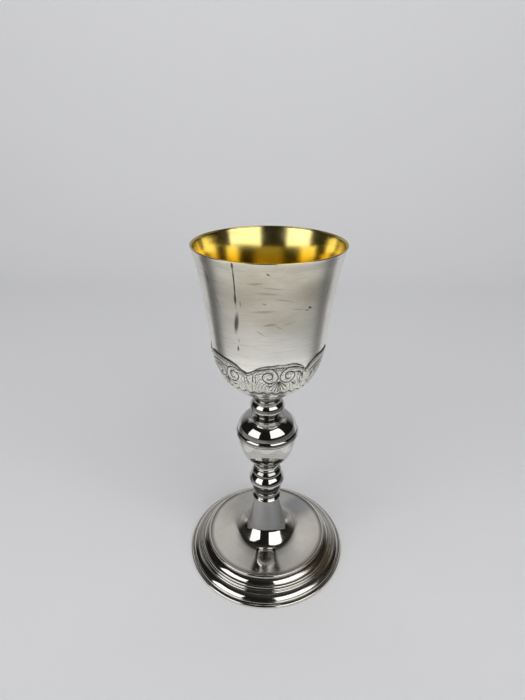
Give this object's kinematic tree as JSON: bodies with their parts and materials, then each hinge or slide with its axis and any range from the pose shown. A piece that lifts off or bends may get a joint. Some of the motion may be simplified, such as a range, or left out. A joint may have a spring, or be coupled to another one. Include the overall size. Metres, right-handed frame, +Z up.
{
  "type": "chalice",
  "caption": "Silver chalice with a flared bowl gilt inside, a scalloped chased calyx, a turned stem with an urn-shaped knop, and a round moulded hollow foot.",
  "frame": {"origin": "centre of the circle that the foot stands on", "axes": "+Z up along the turned axis, -Y towards the viewer, +X to the viewer's right"},
  "size_m": [0.1184, 0.1184, 0.24],
  "materials": {
    "cup_silver_gilt": "worn satin silver outside, polished gilding inside and on the lip",
    "chased_silver": "chased and stippled silver with dark recesses",
    "stem_silver": "polished silver",
    "foot_silver": "polished silver with cloudy smudges and brown tarnish"
  },
  "bodies": {
    "root": {"cup": "cup_silver_gilt", "calyx": "chased_silver", "upper_collar": "stem_silver", "knop": "stem_silver", "lower_collar": "stem_silver", "foot": "foot_silver"}
  },
  "joints": []
}
